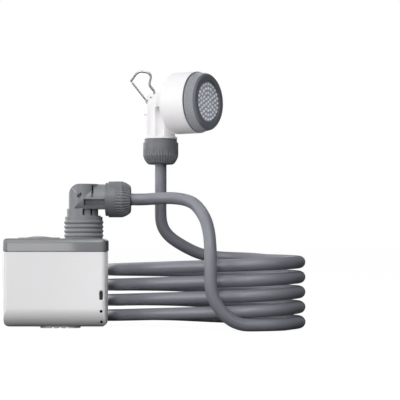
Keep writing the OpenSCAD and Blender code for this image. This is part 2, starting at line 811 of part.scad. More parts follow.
// Hose nut with its broad end at z = 0 and its narrow end up
module hose_nut() {
  r = nut_d / 2;
  tip_r = nut_tip_d / 2;
  difference() {
    rotate_extrude($fn = 96) difference() {
      polygon([
        [0, 0], [nut_flange_r, 0], [nut_flange_r, nut_flange], [r - 0.3, nut_flange], [r, nut_flange + 0.4],
        [r, nut_straight - 1], [r - 0.3, nut_straight + 1], [tip_r + 1.2, nut_len - 1.4], [tip_r, nut_len],
        [0, nut_len]
      ]);
      polygon([
        [-1, -over], [nut_thread_r + gap, -over], [nut_thread_r + gap, grip_z], [grip_r0 + gap, grip_z],
        [grip_r1 + gap, grip_z + grip_len + gap], [nut_hole_r, grip_z + grip_len + gap],
        [nut_hole_r, nut_len + over], [-1, nut_len + over]
      ]);
    }
    for (k = [0 : flute_count - 1])
      rotate(k * 360 / flute_count) translate([r + flute_r * 0.55, 0, nut_straight - 5])
        cylinder(h = nut_len, r = flute_r);
  }
}

// Split cone that grips the hose inside a nut
module grip_ring() {
  difference() {
    rotate_extrude() polygon([
      [hose_d / 2 + slip, grip_z], [grip_r0, grip_z], [grip_r1, grip_z + grip_len],
      [hose_d / 2 + slip, grip_z + grip_len]
    ]);
    translate([0, -0.8, grip_z - over]) cube([2 * grip_r0, 1.6, grip_len + 2 * over]);
  }
}

module on_elbow() {
  translate([nut_face_x, 0, arm_z]) rotate([0, 90, 0]) children();
}

module under_stem() {
  translate([stem_x, stem_y, stem_z]) rotate([180, 0, 0]) children();
}

module elbow_nut() {
  color("#77777b") on_elbow() hose_nut();
}

module elbow_grip_ring() {
  color("#e2e2e0") on_elbow() grip_ring();
}

module head_nut() {
  color("#77777b") under_stem() hose_nut();
}

module head_grip_ring() {
  color("#e2e2e0") under_stem() grip_ring();
}

function unit(v) = v / norm(v);

// Smooth points between hand-chosen ones: the middle of each span bulges as the route bends
function mid_point(p, i) =
  let (a = p[max(i - 1, 0)], b = p[i], c = p[i + 1], d = p[min(i + 2, len(p) - 1)])
    (b + c) * 9 / 16 - (a + d) / 16;
function refined(p) = [
  for (i = [0 : len(p) - 1]) each i < len(p) - 1 ? [p[i], mid_point(p, i)] : [p[i]]
];

function tangent(p, i) = unit(p[min(i + 1, len(p) - 1)] - p[max(i - 1, 0)]);

// Round tube along a path; ref is a direction that the path never takes
module tube(path, d, sides, ref) {
  last = len(path) - 1;
  points = concat([
    for (i = [0 : last])
      let (t = tangent(path, i), u = unit(cross(t, ref)), v = cross(t, u))
        for (k = [0 : sides - 1]) path[i] + d / 2 * (cos(k * 360 / sides) * u + sin(k * 360 / sides) * v)
  ], [path[0], path[last]]);
  n = len(points);
  faces = concat(
    [for (i = [0 : last - 1], k = [0 : sides - 1])
      let (a = i * sides + k, b = i * sides + (k + 1) % sides)
        each [[a, b + sides, b], [a, a + sides, b + sides]]],
    [for (k = [0 : sides - 1]) [n - 2, k, (k + 1) % sides]],
    [for (k = [0 : sides - 1]) [n - 1, last * sides + (k + 1) % sides, last * sides + k]]
  );
  polyhedron(points, faces);
}

module hose_pump_end() {
  color("#808085") tube(concat(refined(pump_route), [coil_end]), hose_d, hose_sides, [0, 1, 0]);
}

module hose_coil() {
  color("#808085") tube(coil_path, hose_d, coil_sides, [0, 0, 1]);
}

module hose_head_end() {
  color("#808085") tube(concat([coil_start], refined(head_route)), hose_d, hose_sides, [0, 1, 0]);
}

// Frame of the bell: its axis runs along local +Z from the stem's axis
module bell_frame() {
  translate([stem_x, stem_y, bell_z]) rotate([0, 0, -bell_turn]) rotate([0, 90, 0]) children();
}

// Bell from its back to the spigot that carries the bezel, as a revolved profile
module bell_solid() {
  bell_frame() rotate_extrude($fn = 128) {
    polygon([
      [0, 2], [stem_r - 1.5, 2], [bell_r - bell_edge_r - 1, bell_back], [bell_r - bell_edge_r, bell_back],
      [bell_r - bell_edge_r * 0.5, bell_back + bell_edge_r * 0.134],
      [bell_r - bell_edge_r * 0.134, bell_back + bell_edge_r * 0.5],
      [bell_r, bell_back + bell_edge_r], [bell_r, bell_front],
      [spigot2_r, bell_front], [spigot2_r, plate_z - gasket_t], [0, plate_z - gasket_t]
    ]);
  }
}

module bell_hollow() {
  inner_r = spigot2_r - bell_wall;
  bell_frame() rotate_extrude() polygon([
    [0, 3], [bell_bore_r, 3], [bell_bore_r, bell_back - 6], [inner_r - 4, bell_back + bell_wall],
    [inner_r, bell_back + 7], [inner_r, plate_z + over], [0, plate_z + over]
  ]);
}

module at_hook_pin() {
  translate([hook_pin_p[0], stem_y, hook_pin_p[1]]) rotate([90, 0, 0]) children();
}

module head_body() {
  color("#ecebec") difference() {
    union() {
      bell_solid();
      translate([stem_x, stem_y, flange_z0]) cylinder(h = dome_z - flange_z0, r = stem_r);
      translate([stem_x, stem_y, dome_z]) sphere(stem_r - 0.1);
      translate([stem_x, stem_y, flange_z0]) cylinder(h = flange_z1 - flange_z0, r = flange_r);
      translate([stem_x, stem_y, stem_z - nut_thread_len])
        cylinder(h = nut_thread_len + 1, r = nut_thread_r);
      at_hook_pin() cylinder(h = cheek_gap + 2 * cheek_t, r = cheek_r, center = true);
      // Small stop on the outer side of the stem
      translate([stem_x - stem_r + 1.2, stem_y - 5, bell_z - 10]) rotate([0, -90, 0])
        cylinder(h = 3, r = 1.2, $fn = 24);
    }
    bell_hollow();
    translate([stem_x, stem_y, stem_z - nut_thread_len - over])
      cylinder(h = nut_thread_len + over - hose_seat + 0.1, r = hose_d / 2 + slip);
    translate([stem_x, stem_y, stem_z - hose_seat]) cylinder(h = hose_seat + 10, r = hose_d / 2 - 2);
    translate([stem_x, stem_y, stem_bore_low]) cylinder(h = stem_bore_top - stem_bore_low, r = stem_bore_r);
    // Hollow flute down the front of the stem
    translate([stem_x - 1, stem_y - stem_r - panel_r + 2.6, flange_z1])
      cylinder(h = bell_z - flange_z1 - 4, r = panel_r);
    // Slot between the hook's cheeks
    at_hook_pin() cylinder(h = cheek_gap, r = slot_r, center = true);
    at_hook_pin() cylinder(h = 4 * cheek_gap, r = pin_d / 2 + 0.02, center = true);
  }
}

module face_gasket() {
  color("#2a2b2d") bell_frame() translate([0, 0, plate_z - gasket_t]) difference() {
    cylinder(h = gasket_t, r = plate_r);
    translate([0, 0, -over]) cylinder(h = gasket_t + 2 * over, r = spigot2_r - bell_wall);
  }
}

// Spray plate with rings of holes
module nozzle_plate() {
  color("#8f9195") bell_frame() difference() {
    union() {
      translate([0, 0, plate_z]) cylinder(h = plate_t, r = plate_r);
      translate([0, 0, plate_z]) cylinder(h = plate_t + lip_t / 2, r = face_d / 2 - 1);
    }
    translate([0, 0, plate_z - over]) cylinder(h = over + plate_t + lip_t, d = hole_d);
    for (ring = [1 : hole_rings], k = [0 : 6 * ring - 1])
      rotate(k * 60 / ring) translate([ring * ring_step, 0, plate_z - over])
        cylinder(h = over + plate_t + lip_t, d = hole_d);
  }
}

module bezel_ring() {
  color("#8c8c90") bell_frame() rotate_extrude($fn = 128) polygon([
    [spigot2_r + gap, bezel_z0], [bezel_r, bezel_z0], [bezel_r, bezel_z1 - 1.5], [bezel_r - 1.5, bezel_z1],
    [face_d / 2 + 0.8, bezel_z1], [face_d / 2, bezel_z1 - 0.8], [face_d / 2, bezel_z1 - lip_t],
    [spigot2_r + gap, bezel_z1 - lip_t]
  ]);
}

module hook_pin() {
  color("silver") at_hook_pin() cylinder(h = cheek_gap + 2 * cheek_t + 0.6, r = pin_d / 2, center = true);
}

// Rod between two points of the hook's plane
module plane_rod(a, b, d) {
  v = b - a;
  translate([a[0], 0, a[1]]) rotate([0, 90 - atan2(v[1], v[0]), 0]) cylinder(h = norm(v), d = d);
}

// Points along a wire in the hook's plane, with each corner rounded to its bend radius
function corner_turn(p, i) =
  let (a = unit(p[i] - p[i - 1]), b = unit(p[i + 1] - p[i])) atan2(a[0] * b[1] - a[1] * b[0], a * b);
function corner_arc(p, r, i) =
  let (turn = corner_turn(p, i), side = sign(turn), v = unit(p[i] - p[i - 1]),
       centre = p[i] - r * tan(abs(turn) / 2) * v + side * r * [-v[1], v[0]],
       from = atan2(v[1], v[0]) - side * 90)
    [for (k = [0 : bend_steps]) let (a = from + turn * k / bend_steps) centre + r * [cos(a), sin(a)]];
function bent_path(p, r) = concat(
  [p[0]],
  [for (i = [1 : len(p) - 2]) each corner_arc(p, r[i], i)],
  [p[len(p) - 1]]
);

module in_hook_plane() {
  translate([0, stem_y, 0]) children();
}

module at_gate_rivet() {
  in_hook_plane() translate([gate_p[0], 0, gate_p[1]]) rotate([90, 0, 0]) children();
}

// Bent wire with an eye for the pin and a flat tail for the gate's rivet
module hook_frame() {
  color("#c9cbce") difference() {
    union() {
      at_hook_pin() cylinder(h = eye_t, r = eye_r + wire_d / 2, center = true);
      tube([for (q = bent_path(hook_wire, hook_bend)) [q[0], stem_y, q[1]]], wire_d, wire_sides, [0, 1, 0]);
      at_gate_rivet() cylinder(h = wire_d, r = tail_r, center = true);
    }
    at_hook_pin() cylinder(h = 2 * eye_t, r = pin_d / 2 + run_fit, center = true);
    at_gate_rivet() cylinder(h = 2 * wire_d, r = rivet_r + run_fit, center = true);
  }
}

// Gate of two wires joined by a bar at the nose, with an eye at the rivet on each
module hook_gate() {
  color("#c9cbce") difference() {
    union() {
      for (s = [-1, 1]) {
        in_hook_plane() translate([0, s * gate_y, 0]) plane_rod(gate_p, gate_tip, gate_wire_d);
        at_gate_rivet() translate([0, 0, s * gate_y])
          cylinder(h = gate_eye_t, r = tail_r - 0.2, center = true);
      }
      in_hook_plane() translate([gate_tip[0], 0, gate_tip[1]]) rotate([90, 0, 0])
        cylinder(h = 2 * gate_y + gate_eye_t, d = gate_eye_t, center = true);
    }
    at_gate_rivet() cylinder(h = 4 * gate_y, r = rivet_r + run_fit, center = true);
  }
}

module gate_rivet() {
  color("#b5b7ba") at_gate_rivet() cylinder(h = 2 * gate_y + gate_eye_t + 0.4, r = rivet_r, center = true);
}

lower_housing();
top_cap();
cap_seal();
power_button();
tact_switch();
circuit_board();
board_screws();
battery_cells();
battery_cradle();
pump_motor();
motor_shaft();
impeller();
pump_volute();
shaft_seal();
inlet_strainer();
strainer_screws();
outlet_riser();
charge_port();
indicator_lens();
vent_plug();
elbow_fitting();
outlet_seal();
elbow_nut();
elbow_grip_ring();
hose_pump_end();
hose_coil();
hose_head_end();
head_nut();
head_grip_ring();
head_body();
face_gasket();
nozzle_plate();
bezel_ring();
hook_pin();
hook_frame();
hook_gate();
gate_rivet();
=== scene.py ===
import math

import bmesh
import bpy
import numpy as np
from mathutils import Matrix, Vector


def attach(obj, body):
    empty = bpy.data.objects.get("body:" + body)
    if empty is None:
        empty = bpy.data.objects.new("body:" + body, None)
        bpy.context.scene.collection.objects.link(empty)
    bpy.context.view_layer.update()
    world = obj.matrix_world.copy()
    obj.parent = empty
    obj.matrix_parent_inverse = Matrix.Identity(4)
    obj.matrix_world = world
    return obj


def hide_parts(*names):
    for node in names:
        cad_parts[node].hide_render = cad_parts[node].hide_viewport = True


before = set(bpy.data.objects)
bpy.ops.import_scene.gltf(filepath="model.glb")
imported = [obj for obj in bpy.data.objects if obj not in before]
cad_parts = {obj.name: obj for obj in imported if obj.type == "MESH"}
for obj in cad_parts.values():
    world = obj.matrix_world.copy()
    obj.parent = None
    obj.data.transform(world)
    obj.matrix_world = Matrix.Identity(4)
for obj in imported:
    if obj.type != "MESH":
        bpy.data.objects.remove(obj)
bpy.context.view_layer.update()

# Studio. A pale floor runs to a white horizon. Soft lamps stand at the left, in front, above and behind,
# and small snooted lamps lift the sides that those leave dark. A dark flag at the right, unseen by the
# camera, is what the right-hand sides mirror.
sky_low, sky_high, sky_tint = 0.14, 0.55, (0.94, 0.97, 1.0, 1)
floor_size, floor_z, floor_lift_white = 300, -0.0004, 0.95


def linear(hex_colour):
    """Scene-linear RGBA of a colour written as RRGGBB."""
    parts = [int(hex_colour[i:i + 2], 16) / 255 for i in (0, 2, 4)]
    return tuple(c / 12.92 if c <= 0.04045 else ((c + 0.055) / 1.055) ** 2.4 for c in parts) + (1.0,)


def blank_material(name):
    """Material with an empty node tree."""
    material = bpy.data.materials.new(name)
    material.use_nodes = True
    material.node_tree.nodes.clear()
    return material


def flat_panel(name, width, depth):
    """Level rectangle, centred on its own origin."""
    mesh = bpy.data.meshes.new(name)
    corners = [(x * width / 2, y * depth / 2, 0) for x, y in ((-1, -1), (1, -1), (1, 1), (-1, 1))]
    mesh.from_pydata(corners, [], [(0, 1, 2, 3)])
    panel = bpy.data.objects.new(name, mesh)
    bpy.context.collection.objects.link(panel)
    return panel


scene = bpy.context.scene
scene.view_settings.view_transform = "Standard"

world = bpy.data.worlds.new("studio_sky")
world.use_nodes = True
scene.world = world
sky = world.node_tree.nodes
sky_links = world.node_tree.links
sky.clear()
sky_out = sky.new("ShaderNodeOutputWorld")
sky_mix = sky.new("ShaderNodeMixShader")
sky_fill = sky.new("ShaderNodeBackground")
sky_fill.inputs["Color"].default_value = sky_tint
sky_way = sky.new("ShaderNodeTexCoord")
sky_height = sky.new("ShaderNodeSeparateXYZ")
sky_range = sky.new("ShaderNodeMapRange")
sky_range.inputs["To Min"].default_value = sky_low
sky_range.inputs["To Max"].default_value = sky_high
sky_links.new(sky_way.outputs["Generated"], sky_height.inputs[0])
sky_links.new(sky_height.outputs["Z"], sky_range.inputs["Value"])
sky_links.new(sky_range.outputs["Result"], sky_fill.inputs["Strength"])
sky_seen = sky.new("ShaderNodeBackground")
sky_seen.inputs["Color"].default_value = (1, 1, 1, 1)
sky_rays = sky.new("ShaderNodeLightPath")
sky_glossy = sky.new("ShaderNodeMath")
sky_glossy.operation = "MAXIMUM"
sky_any = sky.new("ShaderNodeMath")
sky_any.operation = "MAXIMUM"
sky_links.new(sky_rays.outputs["Is Glossy Ray"], sky_glossy.inputs[0])
sky_links.new(sky_rays.outputs["Is Transmission Ray"], sky_glossy.inputs[1])
sky_links.new(sky_rays.outputs["Is Camera Ray"], sky_any.inputs[0])
sky_links.new(sky_glossy.outputs[0], sky_any.inputs[1])
sky_links.new(sky_any.outputs[0], sky_mix.inputs["Fac"])
sky_links.new(sky_fill.outputs[0], sky_mix.inputs[1])
sky_links.new(sky_seen.outputs[0], sky_mix.inputs[2])
sky_links.new(sky_mix.outputs[0], sky_out.inputs["Surface"])

floor_paint = blank_material("studio_floor")
floor_nodes = floor_paint.node_tree.nodes
floor_links = floor_paint.node_tree.links
floor_out = floor_nodes.new("ShaderNodeOutputMaterial")
floor_sum = floor_nodes.new("ShaderNodeAddShader")
floor_matt = floor_nodes.new("ShaderNodeBsdfDiffuse")
floor_matt.inputs["Color"].default_value = (0.1, 0.1, 0.1, 1)
floor_lift = floor_nodes.new("ShaderNodeEmission")
floor_rays = floor_nodes.new("ShaderNodeLightPath")
floor_amount = floor_nodes.new("ShaderNodeMath")
floor_amount.operation = "MULTIPLY"
floor_amount.inputs[1].default_value = floor_lift_white
floor_links.new(floor_rays.outputs["Is Camera Ray"], floor_amount.inputs[0])
floor_links.new(floor_amount.outputs[0], floor_lift.inputs["Strength"])
floor_links.new(floor_matt.outputs[0], floor_sum.inputs[0])
floor_links.new(floor_lift.outputs[0], floor_sum.inputs[1])
floor_links.new(floor_sum.outputs[0], floor_out.inputs["Surface"])
floor = flat_panel("studio_floor", floor_size, floor_size)
floor.location = (0, 0, floor_z)
floor.data.materials.append(floor_paint)

flag_paint = blank_material("studio_flag")
flag_out = flag_paint.node_tree.nodes.new("ShaderNodeOutputMaterial")
flag_matt = flag_paint.node_tree.nodes.new("ShaderNodeBsdfDiffuse")
flag_matt.inputs["Color"].default_value = (0.01, 0.01, 0.012, 1)
flag_paint.node_tree.links.new(flag_matt.outputs[0], flag_out.inputs["Surface"])
flag_height, flag_width, flag_slant = 1.2, 2.0, 18
flag = flat_panel("studio_flag", flag_height, flag_width)
flag.location = (0.39, 0.55, 0.5)
flag.rotation_euler = (0, math.radians(-90), math.radians(flag_slant))
flag.data.materials.append(flag_paint)
flag.visible_camera = False
flag.visible_shadow = False


def stand_lamp(data, place, aim, mirrored):
    """Puts a lamp in the scene and aims it; glossy surfaces show it only if it is mirrored."""
    lamp = bpy.data.objects.new(data.name, data)
    bpy.context.collection.objects.link(lamp)
    lamp.location = place
    lamp.rotation_euler = (Vector(aim) - Vector(place)).to_track_quat("-Z", "Y").to_euler()
    lamp.visible_glossy = mirrored


def soft_lamp(name, place, aim, width, height, power, mirrored=True):
    """Rectangular lamp that throws soft shadows."""
    data = bpy.data.lights.new(name, "AREA")
    data.shape = "RECTANGLE"
    data.size = width
    data.size_y = height
    data.energy = power
    stand_lamp(data, place, aim, mirrored)


def snoot(name, place, aim, angle, power, mirrored=False):
    """Narrow lamp with a soft rim."""
    data = bpy.data.lights.new(name, "SPOT")
    data.energy = power
    data.spot_size = math.radians(angle)
    data.spot_blend = 0.7
    data.shadow_soft_size = 0.05
    stand_lamp(data, place, aim, mirrored)


soft_lamp("softbox", (-1.5, -0.6, 0.5), (0.075, 0.0, 0.1), 0.9, 0.9, 10.5)
soft_lamp("strip_lamp", (-0.275, -1.45, 0.1), (0.0, 0.0, 0.08), 0.33, 0.36, 2.6)
soft_lamp("front_fill", (-0.275, -1.45, 0.6), (0.0, 0.0, 0.08), 0.33, 0.64, 5.8, mirrored=False)
soft_lamp("high_lamp", (0.0, -1.2, 1.25), (0.1, 0.0, 0.08), 1.1, 1.1, 11.6)
soft_lamp("back_lamp", (-0.95, 1.2, 0.65), (0.1, 0.0, 0.1), 1.2, 1.2, 9)
soft_lamp("right_back_lamp", (1.1, 1.1, 0.7), (0.1, 0.0, 0.1), 0.8, 0.8, 15, mirrored=False)
snoot("head_snoot", (0.03, -0.17, 0.006), (0.128, 0.015, 0.215), 33, 0.4, mirrored=True)
snoot("body_snoot", (0.38, -0.24, 0.05), (0.045, -0.01, 0.04), 22, 0.45)
snoot("face_snoot", (0.3, -0.25, 0.03), (0.118, 0.012, 0.226), 13, 4.2)
snoot("side_snoot", (0.16, -0.06, 0.2), (0.05, -0.003, 0.035), 17, 2.0)

camera_rise = 1.96
camera_data = bpy.data.cameras.new("photo_camera")
camera_data.sensor_width = 36
camera_data.lens = 126
camera_data.clip_end = 400
camera = bpy.data.objects.new("photo_camera", camera_data)
bpy.context.collection.objects.link(camera)
camera.location = (0.1432, -1.4, 0.0795)
camera.rotation_euler = (math.radians(90 + camera_rise), 0, 0)
scene.camera = camera

# Hose: 12 mm soft vinyl tube, extruded in one length and pushed over a spigot inside each nut.
# It leaves the elbow, drops to the floor, lies in an oval coil and rises to the shower head.
MM = 0.001
hose_d, hose_sides, span_pieces = 12 * MM, 24, 3
vinyl_grey = "7A7B83"
coil_r = 48
coil_loops = 4
coil_steps = 16
last_turn = 129
coil_left = np.array([95.0, 56.0])
coil_right = np.array([193.0, -18.0])
right_high, right_step = 65, 14.55
left_high, left_step = 56, 15.9
coil_low = 6.2
coil_run = coil_right - coil_left
coil_yaw = math.degrees(math.atan2(coil_run[1], coil_run[0]))
coil_span = np.linalg.norm(coil_run)
run_steps = 12
loop_len = 2 * coil_span + 2 * math.pi * coil_r
quarter_len = math.pi * coil_r / 2
lead = 12
joint_len = 3


def turn_z(i):
    """Height of the middle of a turn; even turns lie at the right."""
    return left_high - left_step * (i - 1) / 2 if i % 2 else right_high - right_step * i / 2


def coil_z(along):
    """Height of the coil at a length along it, even from each turn to the next."""
    t = 2 * (along - quarter_len) / loop_len
    i = math.floor(t)
    return max(coil_low, turn_z(i) + (t - i) * (turn_z(i + 1) - turn_z(i)))


def half_turn(centre, heading, along, angle):
    """Points round a turn, entered with a heading at a length along the coil."""
    points = []
    for i in range(coil_steps + 1):
        a = angle * i / coil_steps
        way = math.radians(heading + 90 - a)
        z = coil_z(along + coil_r * math.radians(a))
        points.append((centre[0] + coil_r * math.cos(way), centre[1] + coil_r * math.sin(way), z))
    return points


def straight_run(heading, start, along):
    """Points between two turns, spaced like those of a turn."""
    way = math.radians(heading)
    points = []
    for i in range(1, run_steps):
        s = coil_span * i / run_steps
        points.append((start[0] + s * math.cos(way), start[1] + s * math.sin(way), coil_z(along + s)))
    return points


coil = []
for k in range(coil_loops):
    coil += half_turn(coil_right, coil_yaw, k * loop_len, 180)
    coil += straight_run(coil_yaw + 180, coil[-1], k * loop_len + math.pi * coil_r)
    coil += half_turn(coil_left, coil_yaw + 180, (k + 0.5) * loop_len, 180)
    coil += straight_run(coil_yaw, coil[-1], (k + 0.5) * loop_len + math.pi * coil_r)
coil += half_turn(coil_right, coil_yaw, coil_loops * loop_len, last_turn)
way_in = math.radians(coil_yaw)
way_out = math.radians(coil_yaw - last_turn)
lead_in = np.array([math.cos(way_in), math.sin(way_in), 2 * (turn_z(0) - turn_z(-1)) / loop_len])
lead_out = np.array([math.cos(way_out), math.sin(way_out), 0])
coil_start = np.array(coil[0]) - lead * lead_in
coil_end = np.array(coil[-1]) + lead * lead_out

pump_route = [
    (59, 0, 128), (74, 0, 128), (86, 0, 128), (98, -2, 128.6), (110, -8, 129), (120, -17, 128.3),
    (130.5, -28, 126), (138.5, -39, 121.5), (144.5, -50, 114), (149, -61, 105), (151.8, -70, 93),
    (153, -76, 78), (153.3, -78, 62), (153.3, -78, 48), (154.5, -77.5, 37), (158.5, -76.5, 27),
    (165, -75, 18), (173, -72.7, 11), (182, -70.2, 7.2), coil_end + joint_len * lead_out,
]
head_route = [
    coil_start - joint_len * lead_in, (196, 39.7, 68.5), (185, 45.5, 69), (175, 48.5, 69.4),
    (165, 49.2, 69.9), (155, 47.8, 71), (143.2, 44.3, 73.6), (132.5, 40.5, 78.2), (122.7, 36.5, 83.6),
    (113.5, 33.7, 90), (107.3, 31.8, 97), (104, 30.6, 105), (103, 30, 115), (103, 30, 127), (103, 30, 140),
    (103, 30, 153), (103, 30, 180),
]


def smooth_line(points, pieces):
    """Points on a smooth curve through the given ones, with the same number of pieces in each span."""
    p = [np.array(q, float) for q in points]
    line = []
    for i in range(len(p) - 1):
        before = p[max(i - 1, 0)]
        after = p[min(i + 2, len(p) - 1)]
        for k in range(pieces):
            t = k / pieces
            a = 2 * p[i]
            b = (p[i + 1] - before) * t
            c = (2 * before - 5 * p[i] + 4 * p[i + 1] - after) * t ** 2
            d = (3 * p[i] - before - 3 * p[i + 1] + after) * t ** 3
            line.append((a + b + c + d) / 2)
    line.append(p[-1])
    return line


def tube_mesh(name, line, radius, sides):
    """Round tube along a line, with its rings carried along without twist and its length in the UV map."""
    line = [Vector(q) for q in line]
    count = len(line)
    tangents = []
    for i in range(count):
        tangents.append((line[min(i + 1, count - 1)] - line[max(i - 1, 0)]).normalized())
    across = tangents[0].orthogonal().normalized()
    verts = []
    reach = [0.0]
    for i in range(count):
        if i:
            across = tangents[i - 1].rotation_difference(tangents[i]) @ across
            reach.append(reach[-1] + (line[i] - line[i - 1]).length)
        other = tangents[i].cross(across)
        for k in range(sides):
            a = 2 * math.pi * k / sides
            verts.append(line[i] + radius * (math.cos(a) * across + math.sin(a) * other))
    faces = []
    uvs = []
    for i in range(count - 1):
        for k in range(sides):
            n = (k + 1) % sides
            faces.append((i * sides + k, i * sides + n, (i + 1) * sides + n, (i + 1) * sides + k))
            low, high = k / sides, (k + 1) / sides
            uvs += [(low, reach[i]), (high, reach[i]), (high, reach[i + 1]), (low, reach[i + 1])]
    faces.append(tuple(range(sides - 1, -1, -1)))
    faces.append(tuple((count - 1) * sides + k for k in range(sides)))
    uvs += [(0.5, 0.0)] * (2 * sides)
    mesh = bpy.data.meshes.new(name)
    mesh.from_pydata(verts, [], faces)
    layer = mesh.uv_layers.new(name="length")
    for i, uv in enumerate(uvs):
        layer.data[i].uv = uv
    mesh.polygons.foreach_set("use_smooth", [True] * len(mesh.polygons))
    return mesh


def place(name, mesh, body, slot_name, material):
    """Puts a new piece in the scene, with its material, and lets it move with a body."""
    shape = bmesh.new()
    shape.from_mesh(mesh)
    bmesh.ops.recalc_face_normals(shape, faces=shape.faces)
    shape.to_mesh(mesh)
    shape.free()
    piece = bpy.data.objects.new(name, mesh)
    bpy.context.collection.objects.link(piece)
    mesh.materials.append(material)
    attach(piece, body)
    return piece


def value_group(name, inputs, outputs):
    """Empty shader node group with named sockets: (name, type, default) in and (name, type) out."""
    group = bpy.data.node_groups.new(name, "ShaderNodeTree")
    for label, kind, default in inputs:
        socket = group.interface.new_socket(label, in_out="INPUT", socket_type=kind)
        socket.default_value = default
    for label, kind in outputs:
        group.interface.new_socket(label, in_out="OUTPUT", socket_type=kind)
    return group, group.nodes.new("NodeGroupInput"), group.nodes.new("NodeGroupOutput")


# Moulded finish: soft drift of tone, a fine spark-eroded grain, edges broken by the mould, rubbed patches.
moulded_group, g_in, g_out = value_group(
    "moulded_finish",
    [("Color", "NodeSocketColor", (0.5, 0.5, 0.5, 1)), ("Drift", "NodeSocketFloat", 0.05),
     ("Roughness", "NodeSocketFloat", 0.45), ("Grain Size", "NodeSocketFloat", 1600.0),
     ("Grain Depth", "NodeSocketFloat", 0.06), ("Rubbed", "NodeSocketFloat", 0.1),
     ("Edge", "NodeSocketFloat", 0.0004)],
    [("Color", "NodeSocketColor"), ("Roughness", "NodeSocketFloat"), ("Normal", "NodeSocketVector")],
)
gn, gl = moulded_group.nodes, moulded_group.links
g_place = gn.new("ShaderNodeTexCoord")
g_cloud = gn.new("ShaderNodeTexNoise")
g_cloud.inputs["Scale"].default_value = 38
g_cloud.inputs["Detail"].default_value = 4
g_grain = gn.new("ShaderNodeTexNoise")
g_grain.inputs["Detail"].default_value = 3
g_shift = gn.new("ShaderNodeMath")
g_shift.operation = "SUBTRACT"
g_shift.inputs[1].default_value = 0.5
g_tone = gn.new("ShaderNodeMath")
g_tone.operation = "MULTIPLY_ADD"
g_tone.inputs[2].default_value = 1.0
g_colour = gn.new("ShaderNodeVectorMath")
g_colour.operation = "SCALE"
g_scuff = gn.new("ShaderNodeTexNoise")
g_scuff.inputs["Scale"].default_value = 150
g_scuff.inputs["Detail"].default_value = 6
g_scuff.inputs["Roughness"].default_value = 0.7
g_patch = gn.new("ShaderNodeMapRange")
g_patch.inputs["From Min"].default_value = 0.5
g_patch.inputs["From Max"].default_value = 0.7
g_rough = gn.new("ShaderNodeMath")
g_rough.operation = "MULTIPLY_ADD"
g_worn = gn.new("ShaderNodeMath")
g_worn.operation = "MULTIPLY_ADD"
g_worn.inputs[1].default_value = 0.18
g_edge = gn.new("ShaderNodeBevel")
g_edge.samples = 4
g_bump = gn.new("ShaderNodeBump")
g_bump.inputs["Distance"].default_value = 0.0002
gl.new(g_place.outputs["Object"], g_cloud.inputs["Vector"])
gl.new(g_place.outputs["Object"], g_grain.inputs["Vector"])
gl.new(g_place.outputs["Object"], g_scuff.inputs["Vector"])
gl.new(g_in.outputs["Grain Size"], g_grain.inputs["Scale"])
gl.new(g_cloud.outputs["Fac"], g_shift.inputs[0])
gl.new(g_shift.outputs[0], g_tone.inputs[0])
gl.new(g_in.outputs["Drift"], g_tone.inputs[1])
gl.new(g_in.outputs["Color"], g_colour.inputs[0])
gl.new(g_tone.outputs[0], g_colour.inputs["Scale"])
gl.new(g_scuff.outputs["Fac"], g_patch.inputs["Value"])
gl.new(g_patch.outputs["Result"], g_rough.inputs[0])
gl.new(g_in.outputs["Rubbed"], g_rough.inputs[1])
gl.new(g_in.outputs["Roughness"], g_rough.inputs[2])
gl.new(g_shift.outputs[0], g_worn.inputs[0])
gl.new(g_rough.outputs[0], g_worn.inputs[2])
gl.new(g_in.outputs["Edge"], g_edge.inputs["Radius"])
gl.new(g_edge.outputs[0], g_bump.inputs["Normal"])
gl.new(g_grain.outputs["Fac"], g_bump.inputs["Height"])
gl.new(g_in.outputs["Grain Depth"], g_bump.inputs["Strength"])
gl.new(g_colour.outputs[0], g_out.inputs["Color"])
gl.new(g_worn.outputs[0], g_out.inputs["Roughness"])
gl.new(g_bump.outputs[0], g_out.inputs["Normal"])


def moulded(name, hex_colour, rough, drift=0.05, size=1600.0, depth=0.06, coat=0.0, coat_rough=0.1):
    """Material of a moulded piece."""
    material = blank_material(name)
    nodes, links = material.node_tree.nodes, material.node_tree.links
    out = nodes.new("ShaderNodeOutputMaterial")
    shader = nodes.new("ShaderNodeBsdfPrincipled")
    finish = nodes.new("ShaderNodeGroup")
    finish.name = "finish"
    finish.node_tree = moulded_group
    finish.inputs["Color"].default_value = linear(hex_colour)
    finish.inputs["Drift"].default_value = drift
    finish.inputs["Roughness"].default_value = rough
    finish.inputs["Grain Size"].default_value = size
    finish.inputs["Grain Depth"].default_value = depth
    shader.inputs["Coat Weight"].default_value = coat
    shader.inputs["Coat Roughness"].default_value = coat_rough
    links.new(finish.outputs["Color"], shader.inputs["Base Color"])
    links.new(finish.outputs["Roughness"], shader.inputs["Roughness"])
    links.new(finish.outputs["Normal"], shader.inputs["Normal"])
    links.new(shader.outputs[0], out.inputs["Surface"])
    return material


def paint(material, *names):
    """Gives CAD nodes their material."""
    for name in names:
        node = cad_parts[name]
        if not node.material_slots:
            node.data.materials.append(material)
        for slot in node.material_slots:
            slot.material = material


hose_line = smooth_line(pump_route + coil[::-1] + head_route, span_pieces)
hose_line = [q * MM for q in hose_line]
vinyl = moulded("hose_vinyl", vinyl_grey, 0.4, drift=0.08, size=700.0, depth=0.04,
                coat=0.1, coat_rough=0.28)

